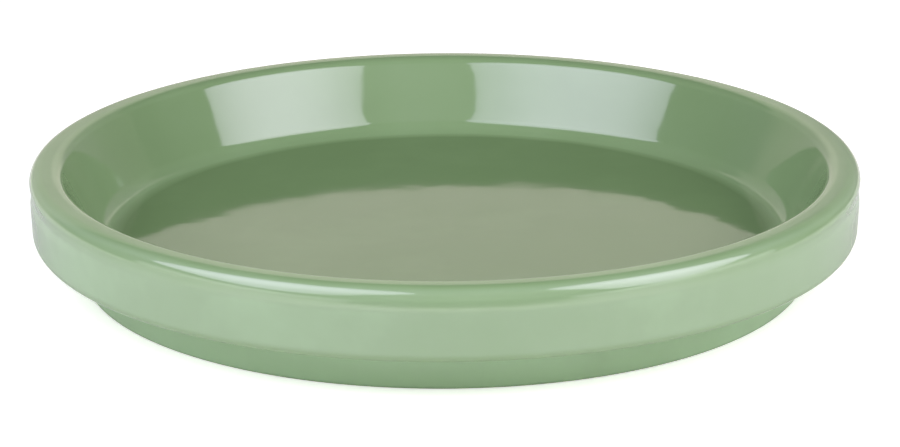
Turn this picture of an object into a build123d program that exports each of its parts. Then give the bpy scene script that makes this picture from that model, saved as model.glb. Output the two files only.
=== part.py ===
from build123d import *
import os

# Plant saucer: a fired clay dish under a thin coat of glaze
# Millimetres, +Z up, origin in the middle of the face it stands on

# Overall sizes
saucer_diameter = 200.0
saucer_height = 27.2

# Rim, whose lip leans in towards the top
rim_width = 7.3
rim_inner_rounding = 2.4
rim_outer_rounding = 3.1
lip_depth = 3.0
lip_lean = 1.44
lip_rounding = 4.0

# Upright band round the outside, drawn in a little at the shoulder under the lip
shoulder_depth = 2.1
shoulder_lean = 0.35
shoulder_rounding = 8.0
band_taper = 0.4
band_corner = 2.3

# Narrower foot under the band, with a ring to stand on
foot_setback = 12.2
foot_height = 10.15
foot_flare = 1.2
foot_corner = 1.5
foot_edge = 1.0
foot_ring_width = 5.5
recess_depth = 2.8
recess_slope = 1.6
recess_corner = 1.2

# Dish inside
wall_run = 8.7
floor_thickness = 6.0
floor_corner = 5.0

# Glaze, which stops on the rounded edge of the foot so that the standing ring is bare
glaze_thickness = 0.4
glaze_setback = 0.6

# Levels and radii that follow from the sizes above
rim_radius = saucer_diameter / 2
rim_inner_radius = rim_radius - rim_width
floor_radius = rim_inner_radius - wall_run
foot_radius = rim_radius - foot_setback
ring_inner_radius = foot_radius - foot_ring_width
bare_radius = foot_radius - glaze_setback
recess_radius = ring_inner_radius - recess_slope
floor_level = recess_depth + floor_thickness
floor_middle_level = recess_depth + floor_thickness / 2
lip_level = saucer_height - lip_depth
shoulder_level = lip_level - shoulder_depth
lip_low_radius = rim_radius - shoulder_lean

# Corners of the half section from the middle of the underside, round the outside, to the middle of the dish
under_centre = (0, recess_depth)
recess_rim = (recess_radius, recess_depth)
ring_inner = (ring_inner_radius, 0)
ring_outer = (foot_radius, 0)
step_inner = (foot_radius + foot_flare, foot_height)
step_outer = (rim_radius - band_taper, foot_height)
shoulder = (rim_radius, shoulder_level)
lip_low = (lip_low_radius, lip_level)
lip_top = (lip_low_radius - lip_lean, saucer_height)
rim_inner = (rim_inner_radius, saucer_height)
floor_edge = (floor_radius, floor_level)
floor_centre = (0, floor_level)

# Half section of the finished saucer, glaze included
with BuildSketch(Plane.XZ) as half_section:
    with BuildLine():
        FilletPolyline(
            under_centre, recess_rim, ring_inner, ring_outer, step_inner, step_outer, shoulder,
            lip_low, lip_top, rim_inner, floor_edge, floor_centre,
            radius=[
                recess_corner, foot_edge, foot_edge, foot_corner, band_corner, shoulder_rounding,
                lip_rounding, rim_outer_rounding, rim_inner_rounding, floor_corner,
            ],
        )
        Line(floor_centre, under_centre)
    make_face()

# Clay body: the section drawn in by the glaze, then filled out again where the underside is bare
with BuildPart() as clay_body:
    with BuildSketch(Plane.XZ):
        add(half_section.sketch_local)
        mirror(about=Plane.YZ)
        offset(amount=-glaze_thickness, mode=Mode.REPLACE)
        split(bisect_by=Plane.YZ, keep=Keep.TOP)
    revolve(axis=Axis.Z)
    with BuildSketch(Plane.XZ):
        Rectangle(bare_radius, floor_middle_level, align=(Align.MIN, Align.MIN))
        add(half_section.sketch_local, mode=Mode.INTERSECT)
    revolve(axis=Axis.Z)
clay_body.part.label = "clay_body"

# Glaze coat: what the finished section has outside the clay
with BuildPart() as glaze_coat:
    with BuildSketch(Plane.XZ):
        add(half_section.sketch_local)
    revolve(axis=Axis.Z)
    add(clay_body.part, mode=Mode.SUBTRACT)
glaze_coat.part.label = "glaze_coat"

os.makedirs("parts", exist_ok=True)
export_step(clay_body.part, "parts/clay_body.step")
export_step(glaze_coat.part, "parts/glaze_coat.step")
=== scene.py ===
import bpy
import math
from mathutils import Matrix, Quaternion, Vector


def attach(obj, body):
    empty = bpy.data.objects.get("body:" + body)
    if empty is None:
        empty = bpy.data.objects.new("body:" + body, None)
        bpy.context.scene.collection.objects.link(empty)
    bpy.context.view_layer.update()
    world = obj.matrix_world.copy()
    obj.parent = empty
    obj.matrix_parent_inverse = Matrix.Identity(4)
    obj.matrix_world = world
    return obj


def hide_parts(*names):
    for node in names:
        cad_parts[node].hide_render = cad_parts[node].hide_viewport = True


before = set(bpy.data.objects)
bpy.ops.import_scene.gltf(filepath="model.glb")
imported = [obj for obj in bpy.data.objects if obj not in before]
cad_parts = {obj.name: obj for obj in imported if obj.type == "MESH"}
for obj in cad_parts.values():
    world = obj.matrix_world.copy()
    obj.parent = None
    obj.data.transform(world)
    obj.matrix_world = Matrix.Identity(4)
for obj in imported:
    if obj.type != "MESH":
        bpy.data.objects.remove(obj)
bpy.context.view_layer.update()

# Sizes of the section in millimetres, as in the solids except for the inner rim edge, which is rounder here
MILLIMETRE = 0.001
RIM_RADIUS = 100.0
SAUCER_HEIGHT = 27.2
RIM_WIDTH = 7.3
RIM_INNER_ROUNDING = 3.2
RIM_OUTER_ROUNDING = 3.1
LIP_DEPTH = 3.0
LIP_LEAN = 1.44
LIP_ROUNDING = 4.0
SHOULDER_DEPTH = 2.1
SHOULDER_LEAN = 0.35
SHOULDER_ROUNDING = 8.0
BAND_TAPER = 0.4
BAND_CORNER = 2.3
FOOT_SETBACK = 12.2
FOOT_HEIGHT = 10.15
FOOT_FLARE = 1.2
FOOT_CORNER = 1.5
FOOT_EDGE = 1.0
FOOT_RING_WIDTH = 5.5
RECESS_DEPTH = 2.8
RECESS_SLOPE = 1.6
RECESS_CORNER = 1.2
WALL_RUN = 8.7
FLOOR_THICKNESS = 6.0
FLOOR_CORNER = 5.0
GLAZE_THICKNESS = 0.4
GLAZE_SETBACK = 0.6

RIM_INNER_RADIUS = RIM_RADIUS - RIM_WIDTH
FLOOR_RADIUS = RIM_INNER_RADIUS - WALL_RUN
FLOOR_LEVEL = RECESS_DEPTH + FLOOR_THICKNESS
LIP_LEVEL = SAUCER_HEIGHT - LIP_DEPTH
LIP_LOW_RADIUS = RIM_RADIUS - SHOULDER_LEAN
LIP_TOP_RADIUS = LIP_LOW_RADIUS - LIP_LEAN
SHOULDER_LEVEL = LIP_LEVEL - SHOULDER_DEPTH
FOOT_RADIUS = RIM_RADIUS - FOOT_SETBACK
RING_INNER_RADIUS = FOOT_RADIUS - FOOT_RING_WIDTH
BARE_RADIUS = FOOT_RADIUS - GLAZE_SETBACK

# How far the kiln left the lip oval, the levels over which that sets in, and how far the floor is warped
LIP_OVAL = 0.65
OVAL_LEVELS = (SHOULDER_LEVEL + 0.8, LIP_LEVEL + 1.2)
FLOOR_WARP = 0.15

# Shallow groove under the lip, open at the left and right and filled with glaze towards the front and back
GROOVE_DEPTH = 0.8
GROOVE_LEVEL = 21.8
GROOVE_HALF_HEIGHT = 1.3
GROOVE_POWER = 8

# How finely the round shapes are drawn, and how close to the axis a point counts as on it
SEGMENTS = 288
ARC_STEP = math.radians(5.0)
LONGEST_STEP = 3.0
LONGEST_OUTSIDE_STEP = 0.5
ON_AXIS = 1e-6


def eased(value, low, high):
    """0 below low, 1 above high and a smooth rise between them."""
    part = min(max((value - low) / (high - low), 0.0), 1.0)
    return part * part * (3 - 2 * part)


def fired(radius, level, angle):
    """Where a point of the section ends up, with the lip oval over its groove and the dish floor warped."""
    outside = eased(radius, RIM_INNER_RADIUS, LIP_TOP_RADIUS)
    on_lip = outside * eased(level, *OVAL_LEVELS)
    in_groove = outside * math.exp(-((level - GROOVE_LEVEL) / GROOVE_HALF_HEIGHT) ** 2)
    oval = LIP_OVAL * on_lip * math.cos(angle) ** 2
    groove = GROOVE_DEPTH * in_groove * math.cos(angle) ** GROOVE_POWER
    # The warp is 0 in the middle of the floor and at the wall, and full between them
    out = min(radius / FLOOR_RADIUS, 1.0) ** 2
    on_floor = 4 * out * (1 - out) * eased(level, RECESS_DEPTH, FLOOR_LEVEL - GLAZE_THICKNESS)
    return radius + oval - groove, level + FLOOR_WARP * on_floor * math.sin(2 * angle)


def rounded_path(corners):
    """Points of a path whose inner corners, given as (radius, level, rounding), are rounded."""
    path = [Vector(corners[0][:2])]
    for before, corner, after in zip(corners, corners[1:], corners[2:]):
        middle = Vector(corner[:2])
        rounding = corner[2]
        to_before = (Vector(before[:2]) - middle).normalized()
        to_after = (Vector(after[:2]) - middle).normalized()
        half_angle = to_before.angle(to_after) / 2
        centre = middle + (to_before + to_after).normalized() * rounding / math.sin(half_angle)
        start = middle + to_before * rounding / math.tan(half_angle) - centre
        end = middle + to_after * rounding / math.tan(half_angle) - centre
        turn = math.atan2(start.x * end.y - start.y * end.x, start.dot(end))
        steps = max(2, math.ceil(abs(turn) / ARC_STEP))
        for step in range(steps + 1):
            angle = turn * step / steps
            cosine = math.cos(angle)
            sine = math.sin(angle)
            path.append(centre + Vector((
                start.x * cosine - start.y * sine,
                start.x * sine + start.y * cosine,
            )))
    path.append(Vector(corners[-1][:2]))
    return path


def subdivided(path):
    """The same path with no step longer than the longest one allowed, which is shorter on the outside."""
    fine = [path[0]]
    for start, end in zip(path, path[1:]):
        outside = min(start.x, end.x) > LIP_TOP_RADIUS
        longest = LONGEST_OUTSIDE_STEP if outside else LONGEST_STEP
        steps = max(1, math.ceil((end - start).length / longest))
        fine += [start.lerp(end, step / steps) for step in range(1, steps + 1)]
    return fine


def inset(path, distance):
    """The path moved sideways into the clay, which lies to the left of its way."""
    moved = []
    for index, point in enumerate(path):
        before = path[max(index - 1, 0)]
        after = path[min(index + 1, len(path) - 1)]
        along = (after - before).normalized()
        moved.append(point + Vector((-along.y, along.x)) * distance)
    return moved


def lathe(name, profile):
    """A closed mesh turned about the upright axis from a profile in millimetres."""
    points = []
    rings = []
    for radius, level in profile:
        if radius < ON_AXIS:
            rings.append([len(points)])
            points.append((0.0, 0.0, level * MILLIMETRE))
            continue
        rings.append(list(range(len(points), len(points) + SEGMENTS)))
        for segment in range(SEGMENTS):
            angle = 2 * math.pi * segment / SEGMENTS
            fired_radius, fired_level = fired(radius, level, angle)
            points.append((
                fired_radius * math.cos(angle) * MILLIMETRE,
                fired_radius * math.sin(angle) * MILLIMETRE,
                fired_level * MILLIMETRE,
            ))
    pairs = list(zip(rings, rings[1:]))
    if len(rings[0]) > 1:
        pairs.append((rings[-1], rings[0]))
    faces = []
    for lower, upper in pairs:
        if len(lower) == 1 and len(upper) == 1:
            continue
        for segment in range(SEGMENTS):
            following = (segment + 1) % SEGMENTS
            if len(lower) == 1:
                faces.append((lower[0], upper[following], upper[segment]))
            elif len(upper) == 1:
                faces.append((lower[segment], lower[following], upper[0]))
            else:
                faces.append((lower[segment], lower[following], upper[following], upper[segment]))
    mesh = bpy.data.meshes.new(name)
    mesh.from_pydata(points, [], faces)
    mesh.validate()
    mesh.shade_smooth()
    piece = bpy.data.objects.new(name, mesh)
    bpy.context.collection.objects.link(piece)
    return piece


# Half section from the middle of the underside, round the outside, to the middle of the dish
section = subdivided(rounded_path([
    (0.0, RECESS_DEPTH, 0.0),
    (RING_INNER_RADIUS - RECESS_SLOPE, RECESS_DEPTH, RECESS_CORNER),
    (RING_INNER_RADIUS, 0.0, FOOT_EDGE),
    (FOOT_RADIUS, 0.0, FOOT_EDGE),
    (FOOT_RADIUS + FOOT_FLARE, FOOT_HEIGHT, FOOT_CORNER),
    (RIM_RADIUS - BAND_TAPER, FOOT_HEIGHT, BAND_CORNER),
    (RIM_RADIUS, SHOULDER_LEVEL, SHOULDER_ROUNDING),
    (LIP_LOW_RADIUS, LIP_LEVEL, LIP_ROUNDING),
    (LIP_TOP_RADIUS, SAUCER_HEIGHT, RIM_OUTER_ROUNDING),
    (RIM_INNER_RADIUS, SAUCER_HEIGHT, RIM_INNER_ROUNDING),
    (FLOOR_RADIUS, FLOOR_LEVEL, FLOOR_CORNER),
    (0.0, FLOOR_LEVEL, 0.0),
]))

# The glaze starts on the rounded edge of the foot, and everything further in underneath is bare
edge_index = next(index for index, point in enumerate(section) if point.x > BARE_RADIUS)
before_edge = section[edge_index - 1]
after_edge = section[edge_index]
edge_point = before_edge.lerp(after_edge, (BARE_RADIUS - before_edge.x) / (after_edge.x - before_edge.x))
bare_outside = section[:edge_index] + [edge_point]
glazed_outside = [edge_point] + section[edge_index:]
glazed_inside = inset(glazed_outside, GLAZE_THICKNESS)
glazed_inside[-1].x = 0.0

# The melted edge of the glaze is rounded over its own thickness
EDGE_STEPS = 5
EDGE_REACH = 1.2 * GLAZE_THICKNESS
edge_along = (glazed_outside[1] - glazed_outside[0]).normalized() * GLAZE_THICKNESS
edge_inward = glazed_inside[0] - glazed_outside[0]
rounded_edge = []
for step in range(1, EDGE_STEPS + 1):
    edge_angle = math.pi / 2 * step / EDGE_STEPS
    rounded_edge.append(
        edge_point + edge_along * (1 - math.cos(edge_angle)) + edge_inward * (1 - math.sin(edge_angle))
    )
past_edge = [point for point in glazed_outside if (point - edge_point).length > EDGE_REACH]

glaze = lathe("glaze_coat_visual", rounded_edge + past_edge + glazed_inside[::-1])
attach(glaze, "root")
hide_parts("glaze_coat")

clay = lathe("clay_body_visual", bare_outside + glazed_inside)
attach(clay, "root")
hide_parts("clay_body")

# How deep the glaze lies, from 0 to 1, with painted light and shade carried in the same value: pooled in
# the dish, less on the wall and the top of the rim, thin over the band, deeper over the lip's roll as
# painted shade, darker along the band's lower edge as painted shade, and a paler colour on the foot as
# painted light
POOL_DEPTH = 1.0
WALL_DEPTH = 0.5
TOP_DEPTH = 0.63
TOP_EDGE_DEPTH = 0.46
# Painted shade: a deeper, darker colour over the lip's roll
ROLL_SHADE_DEPTH = 0.34
BAND_DEPTH = 0.15
# Painted shade: a darker colour along the band's lower edge, which faces down
BAND_EDGE_SHADE_DEPTH = 0.4
# Painted light: the foot gets the palest colour, standing in for light thrown up from the table
FOOT_PAINTED_LIGHT_DEPTH = 0.0

# Radii and levels in millimetres between which one depth passes into another
POOL_RADII = (FLOOR_RADIUS - 4.9, FLOOR_RADIUS - 2.5)
POOL_LEVELS = (RECESS_DEPTH, FLOOR_LEVEL - 1.0)
BAND_RADII = (RIM_INNER_RADIUS + RIM_INNER_ROUNDING, LIP_TOP_RADIUS)
# Levels of the painted shade over the lip's roll
ROLL_START = SHOULDER_LEVEL - 1.0
ROLL_MIDDLE = LIP_LEVEL + 1.0
TOP_LEVELS = (SAUCER_HEIGHT - 1.2, SAUCER_HEIGHT - 0.2)
# Levels of the painted shade along the band's lower edge
BAND_EDGE_SHADE_LEVELS = (FOOT_HEIGHT + 0.5, FOOT_HEIGHT + 2.5)
# Where the painted light on the foot sets in
PAINTED_LIGHT_FOOT_RADII = (FOOT_RADIUS - 2.0, FOOT_RADIUS - 1.0)
PAINTED_LIGHT_FOOT_LEVELS = (FOOT_HEIGHT, FOOT_HEIGHT + 2.0)


def glaze_depth_and_painted_light(radius, level):
    """How deep the glaze lies at a point, with painted shade and painted light laid into it: as on the wall
    or band, with each other place laid over that.
    """
    on_band = eased(radius, *BAND_RADII)
    in_pool = (1 - eased(radius, *POOL_RADII)) * eased(level, *POOL_LEVELS)
    below_top = 1 - eased(level, ROLL_MIDDLE, SAUCER_HEIGHT)
    # Painted shade over the lip's roll
    painted_shade_on_roll = on_band * eased(level, ROLL_START, ROLL_MIDDLE) * below_top
    on_top = eased(level, *TOP_LEVELS)
    # Painted shade along the band's lower edge
    painted_shade_on_band_edge = on_band * (1 - eased(level, *BAND_EDGE_SHADE_LEVELS))
    # Painted light on the foot
    painted_light_on_foot = (1 - on_band) * eased(radius, *PAINTED_LIGHT_FOOT_RADII) * (1 - eased(level, *PAINTED_LIGHT_FOOT_LEVELS))
    depth_and_light = WALL_DEPTH + (BAND_DEPTH - WALL_DEPTH) * on_band
    for share, full in [
        (in_pool, POOL_DEPTH),
        (painted_shade_on_roll, ROLL_SHADE_DEPTH),
        (on_top, TOP_DEPTH + (TOP_EDGE_DEPTH - TOP_DEPTH) * on_band),
        (painted_shade_on_band_edge, BAND_EDGE_SHADE_DEPTH),
        (painted_light_on_foot, FOOT_PAINTED_LIGHT_DEPTH),
    ]:
        depth_and_light += (full - depth_and_light) * share
    return depth_and_light


# Each point stores its glaze depth together with the painted light and shade laid into it
depth_and_light_values = [
    glaze_depth_and_painted_light(math.hypot(vertex.co.x, vertex.co.y) / MILLIMETRE, vertex.co.z / MILLIMETRE)
    for vertex in glaze.data.vertices
]
glaze.data.attributes.new("glaze_depth_and_painted_light", "FLOAT", "POINT").data.foreach_set("value", depth_and_light_values)

# Limits of the middle part of a noise and of a whole share, and where a ramp's new stops are put first
NOISE_MIDDLE = (0.3, 0.7)
WHOLE_SHARE = (0.0, 1.0)
RAMP_MIDDLE = 0.5
WHITE = (1.0, 1.0, 1.0)


def new_material(name):
    """A new material with its node tree and its shader."""
    material = bpy.data.materials.new(name)
    material.use_nodes = True
    return material, material.node_tree, material.node_tree.nodes["Principled BSDF"]


def noise(tree, coordinates, cells, detail, signed=False):
    """A noise in object space with so many cells to the metre, from 0 to 1, or about 0 if signed."""
    texture = tree.nodes.new("ShaderNodeTexNoise")
    texture.normalize = not signed
    texture.inputs["Scale"].default_value = cells
    texture.inputs["Detail"].default_value = detail
    tree.links.new(coordinates.outputs["Object"], texture.inputs["Vector"])
    return texture.outputs["Fac"]


def mapped(tree, value, limits, results, interpolation="SMOOTHSTEP"):
    """A change from one result to another between two limits of a value."""
    change = tree.nodes.new("ShaderNodeMapRange")
    change.interpolation_type = interpolation
    for socket, number in zip(["From Min", "From Max", "To Min", "To Max"], [*limits, *results]):
        change.inputs[socket].default_value = number
    tree.links.new(value, change.inputs["Value"])
    return change.outputs["Result"]


def stretched(tree, value, results):
    """The middle part of a noise spread between two results."""
    return mapped(tree, value, NOISE_MIDDLE, results, "LINEAR")


def coloured(tree, value, stops):
    """A colour ramp over a value, from (position, colour) pairs."""
    ramp = tree.nodes.new("ShaderNodeValToRGB")
    elements = ramp.color_ramp.elements
    while len(elements) < len(stops):
        elements.new(RAMP_MIDDLE)
    for element, (position, colour) in zip(elements, stops):
        element.position = position
        element.color = (*colour, 1.0)
    tree.links.new(value, ramp.inputs["Fac"])
    return ramp.outputs["Color"]


def joined(tree, operation, first, second):
    """Two values added or multiplied."""
    result = tree.nodes.new("ShaderNodeMath")
    result.operation = operation
    tree.links.new(first, result.inputs[0])
    tree.links.new(second, result.inputs[1])
    return result.outputs[0]


def bumped(tree, height, distance, below=None):
    """A bump of the given full height in metres, on top of another one if given."""
    bump = tree.nodes.new("ShaderNodeBump")
    bump.inputs["Strength"].default_value = 1.0
    bump.inputs["Distance"].default_value = distance
    tree.links.new(height, bump.inputs["Height"])
    if below:
        tree.links.new(below, bump.inputs["Normal"])
    return bump.outputs["Normal"]


# Glaze: glossy sage green, deeper in colour where it pools, paler on the foot as painted light and darker
# on the lip's roll and the band's lower edge as painted shade, with faint clouds and a slightly uneven melt
GLAZE_AND_PAINTED_LIGHT_COLOURS = [
    # The first stop is the foot's paler colour, painted light
    (FOOT_PAINTED_LIGHT_DEPTH, (0.362, 0.522, 0.308)),
    (BAND_DEPTH, (0.274, 0.386, 0.223)),
    (WALL_DEPTH, (0.212, 0.328, 0.15)),
    (POOL_DEPTH, (0.115, 0.192, 0.074)),
]
CLOUD_CELLS = 35.0
CLOUD_DETAIL = 4.0
CLOUD_DEPTHS = (-0.05, 0.05)
GLOSS_CELLS = 90.0
GLOSS_DETAIL = 3.0
GLAZE_ROUGHNESS = (0.05, 0.09)
GLAZE_IOR = 1.65

# The uneven melt and the finer ripple on it: cells to the metre and height in metres
MELT_LAYERS = [(45.0, 0.00006), (130.0, 0.000012)]
MELT_DETAIL = 1.0

material, tree, shader = new_material("green_glaze")
coordinates = tree.nodes.new("ShaderNodeTexCoord")
depth_and_light = tree.nodes.new("ShaderNodeAttribute")
depth_and_light.attribute_name = "glaze_depth_and_painted_light"
clouds = stretched(tree, noise(tree, coordinates, CLOUD_CELLS, CLOUD_DETAIL), CLOUD_DEPTHS)
clouded_depth_and_light = joined(tree, "ADD", depth_and_light.outputs["Fac"], clouds)
tree.links.new(coloured(tree, clouded_depth_and_light, GLAZE_AND_PAINTED_LIGHT_COLOURS), shader.inputs["Base Color"])
gloss = stretched(tree, noise(tree, coordinates, GLOSS_CELLS, GLOSS_DETAIL), GLAZE_ROUGHNESS)
tree.links.new(gloss, shader.inputs["Roughness"])
melt = None
for cells, height in MELT_LAYERS:
    waves = noise(tree, coordinates, cells, MELT_DETAIL, signed=True)
    melt = bumped(tree, joined(tree, "MULTIPLY", depth_and_light.outputs["Fac"], waves), height, melt)
tree.links.new(melt, shader.inputs["Normal"])
shader.inputs["IOR"].default_value = GLAZE_IOR
glaze.data.materials.append(material)

# Bare clay: pale and dry, with fine grain, soft blotches and faint turning rings
CLAY_COLOURS = [(0.25, (0.47, 0.36, 0.235)), (0.5, (0.57, 0.45, 0.30)), (0.8, (0.63, 0.51, 0.36))]
CLAY_ROUGHNESS = (0.78, 0.95)
GRAIN_CELLS = 1400.0
GRAIN_DETAIL = 3.0
GRAIN_HEIGHT = 0.00006
BLOTCH_CELLS = 40.0
BLOTCH_DETAIL = 4.0
BLOTCH_SHADES = (-0.1, 0.1)
RINGS_SCALE = 60.0
RINGS_DISTORTION = 2.0
RINGS_DETAIL_SCALE = 1.5
RINGS_HEIGHT = 0.00008

material, tree, shader = new_material("bare_clay")
coordinates = tree.nodes.new("ShaderNodeTexCoord")
grain = noise(tree, coordinates, GRAIN_CELLS, GRAIN_DETAIL)
blotches = stretched(tree, noise(tree, coordinates, BLOTCH_CELLS, BLOTCH_DETAIL), BLOTCH_SHADES)
blotched_grain = joined(tree, "ADD", grain, blotches)
tree.links.new(coloured(tree, blotched_grain, CLAY_COLOURS), shader.inputs["Base Color"])
tree.links.new(stretched(tree, grain, CLAY_ROUGHNESS), shader.inputs["Roughness"])
turning_rings = tree.nodes.new("ShaderNodeTexWave")
turning_rings.wave_type = "RINGS"
turning_rings.rings_direction = "Z"
turning_rings.inputs["Scale"].default_value = RINGS_SCALE
turning_rings.inputs["Distortion"].default_value = RINGS_DISTORTION
turning_rings.inputs["Detail Scale"].default_value = RINGS_DETAIL_SCALE
tree.links.new(coordinates.outputs["Object"], turning_rings.inputs["Vector"])
turned = bumped(tree, turning_rings.outputs["Fac"], RINGS_HEIGHT)
tree.links.new(bumped(tree, grain, GRAIN_HEIGHT, turned), shader.inputs["Normal"])
clay.data.materials.append(material)

# Studio: one pale sheet that runs along the floor and up behind the saucer, in metres
SHEET_HALF_WIDTH = 2.5
SHEET_FRONT = -2.5
SHEET_BACK = 1.3
SHEET_TOP = 1.1
SHEET_BEND = 0.35
BEND_STEPS = 16
sheet_line = [(SHEET_FRONT, 0.0), (SHEET_BACK - SHEET_BEND, 0.0)]
for step in range(1, BEND_STEPS + 1):
    bend_angle = math.pi / 2 * step / BEND_STEPS
    sheet_line.append((
        SHEET_BACK - SHEET_BEND + SHEET_BEND * math.sin(bend_angle),
        SHEET_BEND - SHEET_BEND * math.cos(bend_angle),
    ))
sheet_line.append((SHEET_BACK, SHEET_TOP))
sheet_points = []
for along, height in sheet_line:
    sheet_points += [(-SHEET_HALF_WIDTH, along, height), (SHEET_HALF_WIDTH, along, height)]
sheet_faces = [(2 * row, 2 * row + 1, 2 * row + 3, 2 * row + 2) for row in range(len(sheet_line) - 1)]
sheet_mesh = bpy.data.meshes.new("studio_sheet")
sheet_mesh.from_pydata(sheet_points, [], sheet_faces)
sheet_mesh.shade_smooth()
studio_sheet = bpy.data.objects.new("studio_sheet", sheet_mesh)
bpy.context.collection.objects.link(studio_sheet)

# White where the camera sees it, a warmer grey where the glaze mirrors it, and no glow close round the foot
SHEET_COLOUR = (0.89, 0.91, 0.8, 1.0)
SHEET_ROUGHNESS = 0.9
SEEN_GLOW = 0.5
MIRRORED_GLOW = 0.61
GLOW_COLOURS = [(0.0, WHITE), (1.0, (1.0, 0.97, 0.74))]
GLOW_RADII = (0.12, 0.35)

# How the mirrored glow changes from left to right: between which x in metres, and the shares at these
SIDE_FADES = [
    ((-2.2, -1.4), (0.0, 1.0)),
    ((-0.3, -0.1), (0.62, 1.0)),
    ((0.14, 0.35), (1.0, 0.25)),
]

material, tree, shader = new_material("studio_sheet")
shader.inputs["Base Color"].default_value = SHEET_COLOUR
shader.inputs["Roughness"].default_value = SHEET_ROUGHNESS
shader.inputs["Specular IOR Level"].default_value = 0.0
light_path = tree.nodes.new("ShaderNodeLightPath")
coordinates = tree.nodes.new("ShaderNodeTexCoord")
place = tree.nodes.new("ShaderNodeSeparateXYZ")
tree.links.new(coordinates.outputs["Object"], place.inputs["Vector"])
reach = tree.nodes.new("ShaderNodeVectorMath")
reach.operation = "LENGTH"
tree.links.new(coordinates.outputs["Object"], reach.inputs[0])
mirrored = mapped(tree, reach.outputs["Value"], GLOW_RADII, (0.0, MIRRORED_GLOW))
for limits, shares in SIDE_FADES:
    mirrored = joined(tree, "MULTIPLY", mirrored, mapped(tree, place.outputs["X"], limits, shares))
mirrored = joined(tree, "MULTIPLY", mirrored, light_path.outputs["Is Glossy Ray"])
seen = mapped(tree, light_path.outputs["Is Camera Ray"], WHOLE_SHARE, (0.0, SEEN_GLOW))
tree.links.new(joined(tree, "ADD", mirrored, seen), shader.inputs["Emission Strength"])
glow_colour = coloured(tree, light_path.outputs["Is Glossy Ray"], GLOW_COLOURS)
tree.links.new(glow_colour, shader.inputs["Emission Color"])

# The sheet has one side only, so that it doesn't hide the saucer from behind or from below
surface = tree.nodes.new("ShaderNodeNewGeometry")
clear = tree.nodes.new("ShaderNodeBsdfTransparent")
one_sided = tree.nodes.new("ShaderNodeMixShader")
tree.links.new(surface.outputs["Backfacing"], one_sided.inputs[0])
tree.links.new(shader.outputs["BSDF"], one_sided.inputs[1])
tree.links.new(clear.outputs["BSDF"], one_sided.inputs[2])
tree.links.new(one_sided.outputs["Shader"], tree.nodes["Material Output"].inputs["Surface"])
studio_sheet.data.materials.append(material)

# Lamps: angles in degrees as seen from the saucer, 0 towards the camera and + to the right
LAMP_DISTANCE = 0.8
EDGE_SHARE = 0.5


def soft_lamp(name, shape, azimuth, elevation, half_width, half_height, radiance, lean=0.0, colour=WHITE):
    """A flat lamp that faces the saucer, leaning in its own plane and half as bright at its edge."""
    turn = math.radians(azimuth)
    lift = math.radians(elevation)
    place = LAMP_DISTANCE * Vector((
        math.sin(turn) * math.cos(lift),
        -math.cos(turn) * math.cos(lift),
        math.sin(lift),
    ))
    data = bpy.data.lights.new(name, "AREA")
    data.shape = shape
    data.size = 2 * LAMP_DISTANCE * math.tan(math.radians(half_width))
    data.size_y = 2 * LAMP_DISTANCE * math.tan(math.radians(half_height))
    area = data.size * data.size_y * (math.pi / 4 if shape == "ELLIPSE" else 1.0)
    data.energy = math.pi * area * radiance
    data.color = colour
    data.use_nodes = True
    tree = data.node_tree
    surface = tree.nodes.new("ShaderNodeNewGeometry")
    # From 0 to 1 across the lamp becomes from -1 to 1, and its square is 1 at the edge
    centred = tree.nodes.new("ShaderNodeVectorMath")
    centred.operation = "MULTIPLY_ADD"
    centred.inputs[1].default_value = (2.0, 2.0, 0.0)
    centred.inputs[2].default_value = (-1.0, -1.0, 0.0)
    tree.links.new(surface.outputs["Parametric"], centred.inputs[0])
    from_middle = tree.nodes.new("ShaderNodeVectorMath")
    from_middle.operation = "DOT_PRODUCT"
    tree.links.new(centred.outputs["Vector"], from_middle.inputs[0])
    tree.links.new(centred.outputs["Vector"], from_middle.inputs[1])
    fading = mapped(tree, from_middle.outputs["Value"], WHOLE_SHARE, (1.0, EDGE_SHARE), "LINEAR")
    tree.links.new(fading, tree.nodes["Emission"].inputs["Strength"])
    lamp = bpy.data.objects.new(name, data)
    lamp.location = place
    facing = (-place).to_track_quat("-Z", "Y")
    lamp.rotation_euler = (facing @ Quaternion((0.0, 0.0, 1.0), math.radians(lean))).to_euler()
    bpy.context.collection.objects.link(lamp)


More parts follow.
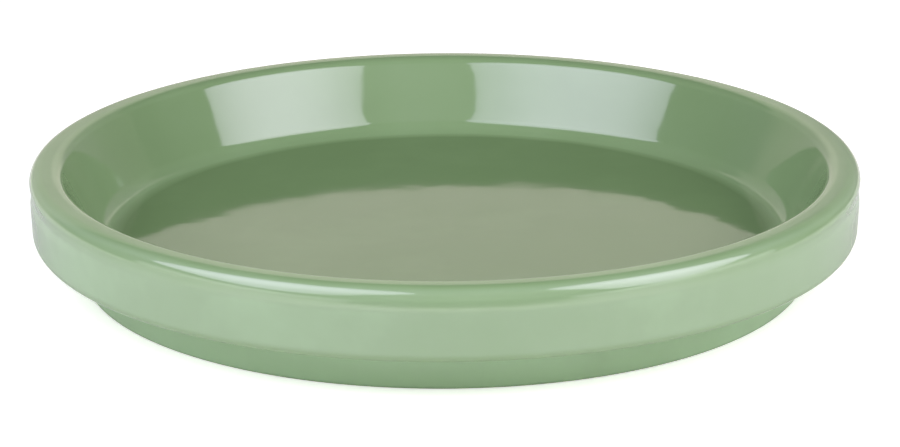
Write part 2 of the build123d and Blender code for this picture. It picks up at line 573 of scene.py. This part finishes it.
# A round soft lamp in front on each side, a dim reflector low down under each, and a faint one in front
soft_lamp(
    "lamp_right", "ELLIPSE", azimuth=62.4, elevation=37.8, half_width=24.7, half_height=21.7,
    radiance=5.6, lean=-23.7, colour=(1.0, 0.95, 1.12),
)
soft_lamp(
    "lamp_left", "ELLIPSE", azimuth=-51.6, elevation=43.0, half_width=30.2, half_height=21.7,
    radiance=5.1, lean=14.4, colour=(0.97, 0.94, 1.16),
)
soft_lamp(
    "reflector_right", "RECTANGLE", azimuth=62.0, elevation=9.0, half_width=30.0, half_height=8.0,
    radiance=2.5,
)
soft_lamp(
    "reflector_front", "ELLIPSE", azimuth=9.0, elevation=36.0, half_width=24.0, half_height=16.0,
    radiance=0.45,
)
soft_lamp(
    "reflector_left", "RECTANGLE", azimuth=-54.0, elevation=9.0, half_width=30.0, half_height=8.0,
    radiance=2.1,
)

# Dim even light from all round
WORLD_COLOUR = (0.05, 0.05, 0.05, 1.0)
world = bpy.data.worlds.new("studio")
world.use_nodes = True
world.node_tree.nodes["Background"].inputs["Color"].default_value = WORLD_COLOUR
bpy.context.scene.world = world

# Camera: where the photograph was taken from, worked out from the outline of the saucer
IMAGE_WIDTH = 900
IMAGE_HEIGHT = 447
CAMERA_DISTANCE = 0.75
CAMERA_ELEVATION = math.radians(18.6)
CAMERA_ROLL = math.radians(-0.249)
CLIP_START = 0.01
FOCAL_PIXELS = 3063.0
BASE_PIXEL = (444.85, 261.0)
SENSOR_WIDTH = 36.0
camera_place = CAMERA_DISTANCE * Vector((0.0, -math.cos(CAMERA_ELEVATION), math.sin(CAMERA_ELEVATION)))
yaw = math.atan((IMAGE_WIDTH / 2 - BASE_PIXEL[0]) / FOCAL_PIXELS)
tilt = math.atan((BASE_PIXEL[1] - IMAGE_HEIGHT / 2) / FOCAL_PIXELS) - CAMERA_ELEVATION
forward = Vector((math.sin(yaw) * math.cos(tilt), math.cos(yaw) * math.cos(tilt), math.sin(tilt)))
level_right = Vector((math.cos(yaw), -math.sin(yaw), 0.0))
level_down = forward.cross(level_right)
right = math.cos(CAMERA_ROLL) * level_right - math.sin(CAMERA_ROLL) * level_down
down = math.sin(CAMERA_ROLL) * level_right + math.cos(CAMERA_ROLL) * level_down
camera_data = bpy.data.cameras.new("camera")
camera_data.sensor_width = SENSOR_WIDTH
camera_data.lens = FOCAL_PIXELS * SENSOR_WIDTH / IMAGE_WIDTH
camera_data.clip_start = CLIP_START
camera = bpy.data.objects.new("camera", camera_data)
camera.matrix_world = Matrix((
    (right.x, -down.x, -forward.x, camera_place.x),
    (right.y, -down.y, -forward.y, camera_place.y),
    (right.z, -down.z, -forward.z, camera_place.z),
    (0.0, 0.0, 0.0, 1.0),
))
bpy.context.collection.objects.link(camera)
bpy.context.scene.camera = camera
bpy.context.scene.view_settings.view_transform = "Standard"
